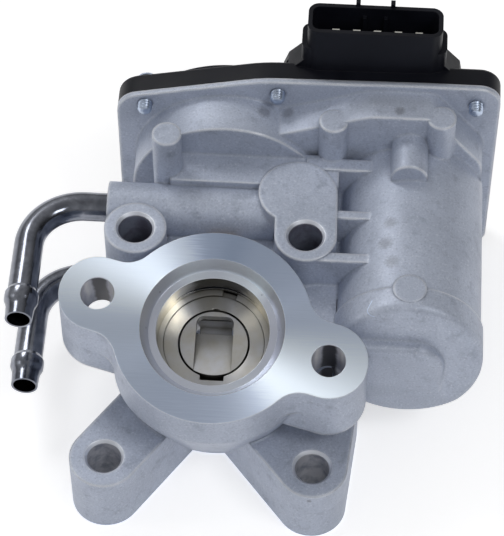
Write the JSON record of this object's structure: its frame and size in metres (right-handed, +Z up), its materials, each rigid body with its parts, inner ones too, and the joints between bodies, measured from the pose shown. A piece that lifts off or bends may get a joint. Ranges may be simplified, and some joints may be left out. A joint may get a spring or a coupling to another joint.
{
  "type": "egr valve",
  "caption": "Exhaust gas recirculation valve: a leaning inlet flange on a cast housing, a swivelling flap, a motor and gear case, coolant pipes and a socket.",
  "frame": {"origin": "centre of the outlet bore on the base face", "axes": "+Z up from the base face, along the outlet; +Y towards the gear case, along the flap shaft; +X towards the motor"},
  "size_m": [0.1307, 0.1176, 0.0855],
  "materials": {
    "casting": "cast aluminium, satin",
    "machined_steel": "turned steel, satin",
    "pipe_steel": "polished stainless steel",
    "black_plastic": "glass-filled plastic, matte",
    "gear_plastic": "natural plastic, satin",
    "zinc_steel": "zinc plated steel",
    "bronze": "sintered bronze",
    "rubber": "moulded rubber",
    "magnet": "ferrite, matte",
    "copper": "copper",
    "tin": "tinned bronze",
    "carbon": "carbon, matte",
    "board": "circuit board, semi gloss"
  },
  "bodies": {
    "valve_body": {"valve_housing": "casting", "seat_sleeve": "machined_steel", "retaining_ring": "machined_steel", "inner_bush": "bronze", "outer_bush": "bronze", "shaft_seal": "rubber", "idler_pin": "machined_steel", "motor_can": "zinc_steel", "motor_magnets": "magnet", "motor_brushes": "carbon", "brush_holder": "black_plastic", "motor_front_bearing": "bronze", "motor_rear_bearing": "bronze", "motor_end_plate": "zinc_steel", "motor_screws": "zinc_steel", "wave_washer": "machined_steel", "gear_cover": "black_plastic", "cover_seal": "rubber", "cover_screws": "zinc_steel", "connector_terminals": "tin", "sensor_board": "board", "upper_coolant_pipe": "pipe_steel", "lower_coolant_pipe": "pipe_steel"},
    "flap": {"valve_shaft": "machined_steel", "flap_disc": "machined_steel", "output_gear": "gear_plastic", "sensor_magnet": "magnet", "return_spring": "machined_steel"},
    "idler": {"intermediate_gear": "gear_plastic"},
    "rotor": {"motor_shaft": "machined_steel", "armature_core": "machined_steel", "armature_windings": "copper", "commutator": "copper", "motor_pinion": "bronze"}
  },
  "joints": [
    {"name": "motor_spin", "type": "hinge", "parent": "valve_body", "child": "rotor", "pos_m": [0.0513, 0.051, 0.0354], "axis": [0, 1, 0], "range_deg": [0, 1109.33]},
    {"name": "idler_spin", "type": "hinge", "parent": "valve_body", "child": "idler", "pos_m": [0.03133, 0.0557, 0.0419], "axis": [0, 1, 0], "range_deg": [-346.67, 0]},
    {"name": "flap_turn", "type": "hinge", "parent": "valve_body", "child": "flap", "pos_m": [0, 0.017, 0.0354], "axis": [0, 1, 0], "range_deg": [0, 80], "deforming": ["return_spring"]}
  ],
  "couplings": [
    {"joint": "idler_spin", "follows": "motor_spin", "ratio": -0.3125},
    {"joint": "flap_turn", "follows": "motor_spin", "ratio": 0.072115}
  ]
}
